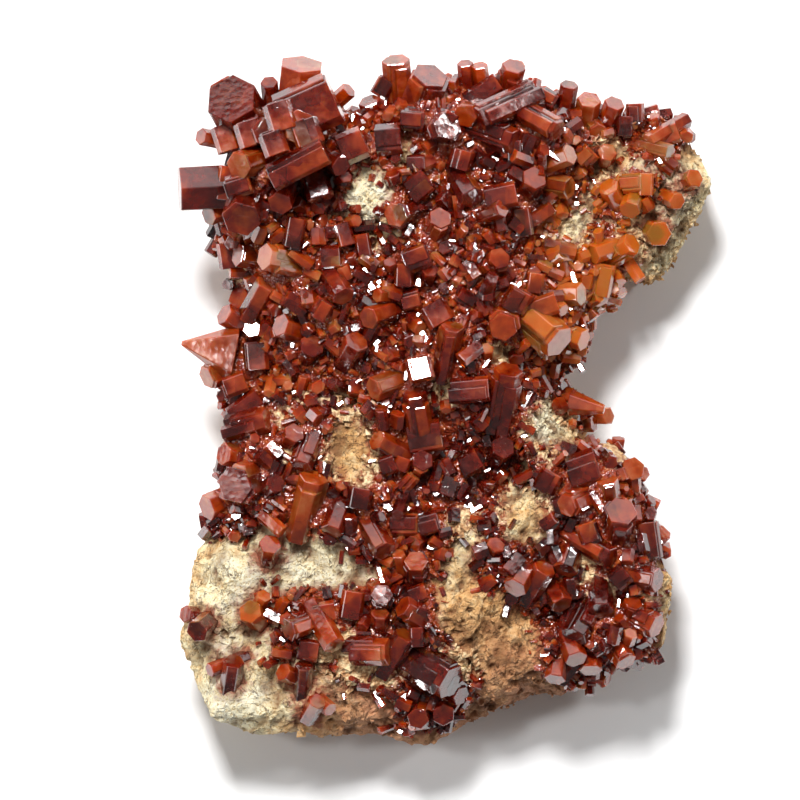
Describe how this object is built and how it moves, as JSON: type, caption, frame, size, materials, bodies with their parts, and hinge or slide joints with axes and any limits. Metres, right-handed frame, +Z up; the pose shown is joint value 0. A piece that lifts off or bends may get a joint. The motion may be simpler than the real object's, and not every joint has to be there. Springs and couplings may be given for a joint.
{
  "type": "vanadinite on matrix",
  "caption": "Hand specimen of red to orange hexagonal vanadinite crystals crusting a cream and tan rock, lying crystal side up on a flat sawn underside.",
  "frame": {"origin": "Bottom centre of the bounding box, on the flat sawn underside that the specimen rests on.", "axes": "+Z up through the crystal crust (shortest extent), +Y towards the end with the biggest crystals (longest extent), +X to the right when looking down with +Y away, towards the pale shoulder."},
  "size_m": [0.0538, 0.0697, 0.023],
  "materials": {
    "rock": "rough, sugary and earthy cream to tan rock",
    "red_vanadinite": "adamantine to resinous, deep red, translucent at thin edges",
    "orange_vanadinite": "resinous, orange, translucent"
  },
  "bodies": {
    "root": {"matrix": "rock", "upper_left_cluster": "red_vanadinite", "main_crust": "red_vanadinite", "lower_right_crust": "red_vanadinite", "lower_middle_crust": "red_vanadinite", "orange_crust": "orange_vanadinite", "shoulder_crust": "orange_vanadinite", "rim_crust": "red_vanadinite", "right_spur": "red_vanadinite", "left_edge_pair": "red_vanadinite", "slab_crystal": "red_vanadinite", "slab_pair": "orange_vanadinite", "lower_left_prism": "red_vanadinite", "bottom_prism": "red_vanadinite", "bottom_pair": "red_vanadinite", "shoulder_disc": "orange_vanadinite", "shoulder_bead": "orange_vanadinite", "tip_crystal": "orange_vanadinite", "chip_crystal": "red_vanadinite"}
  },
  "joints": []
}
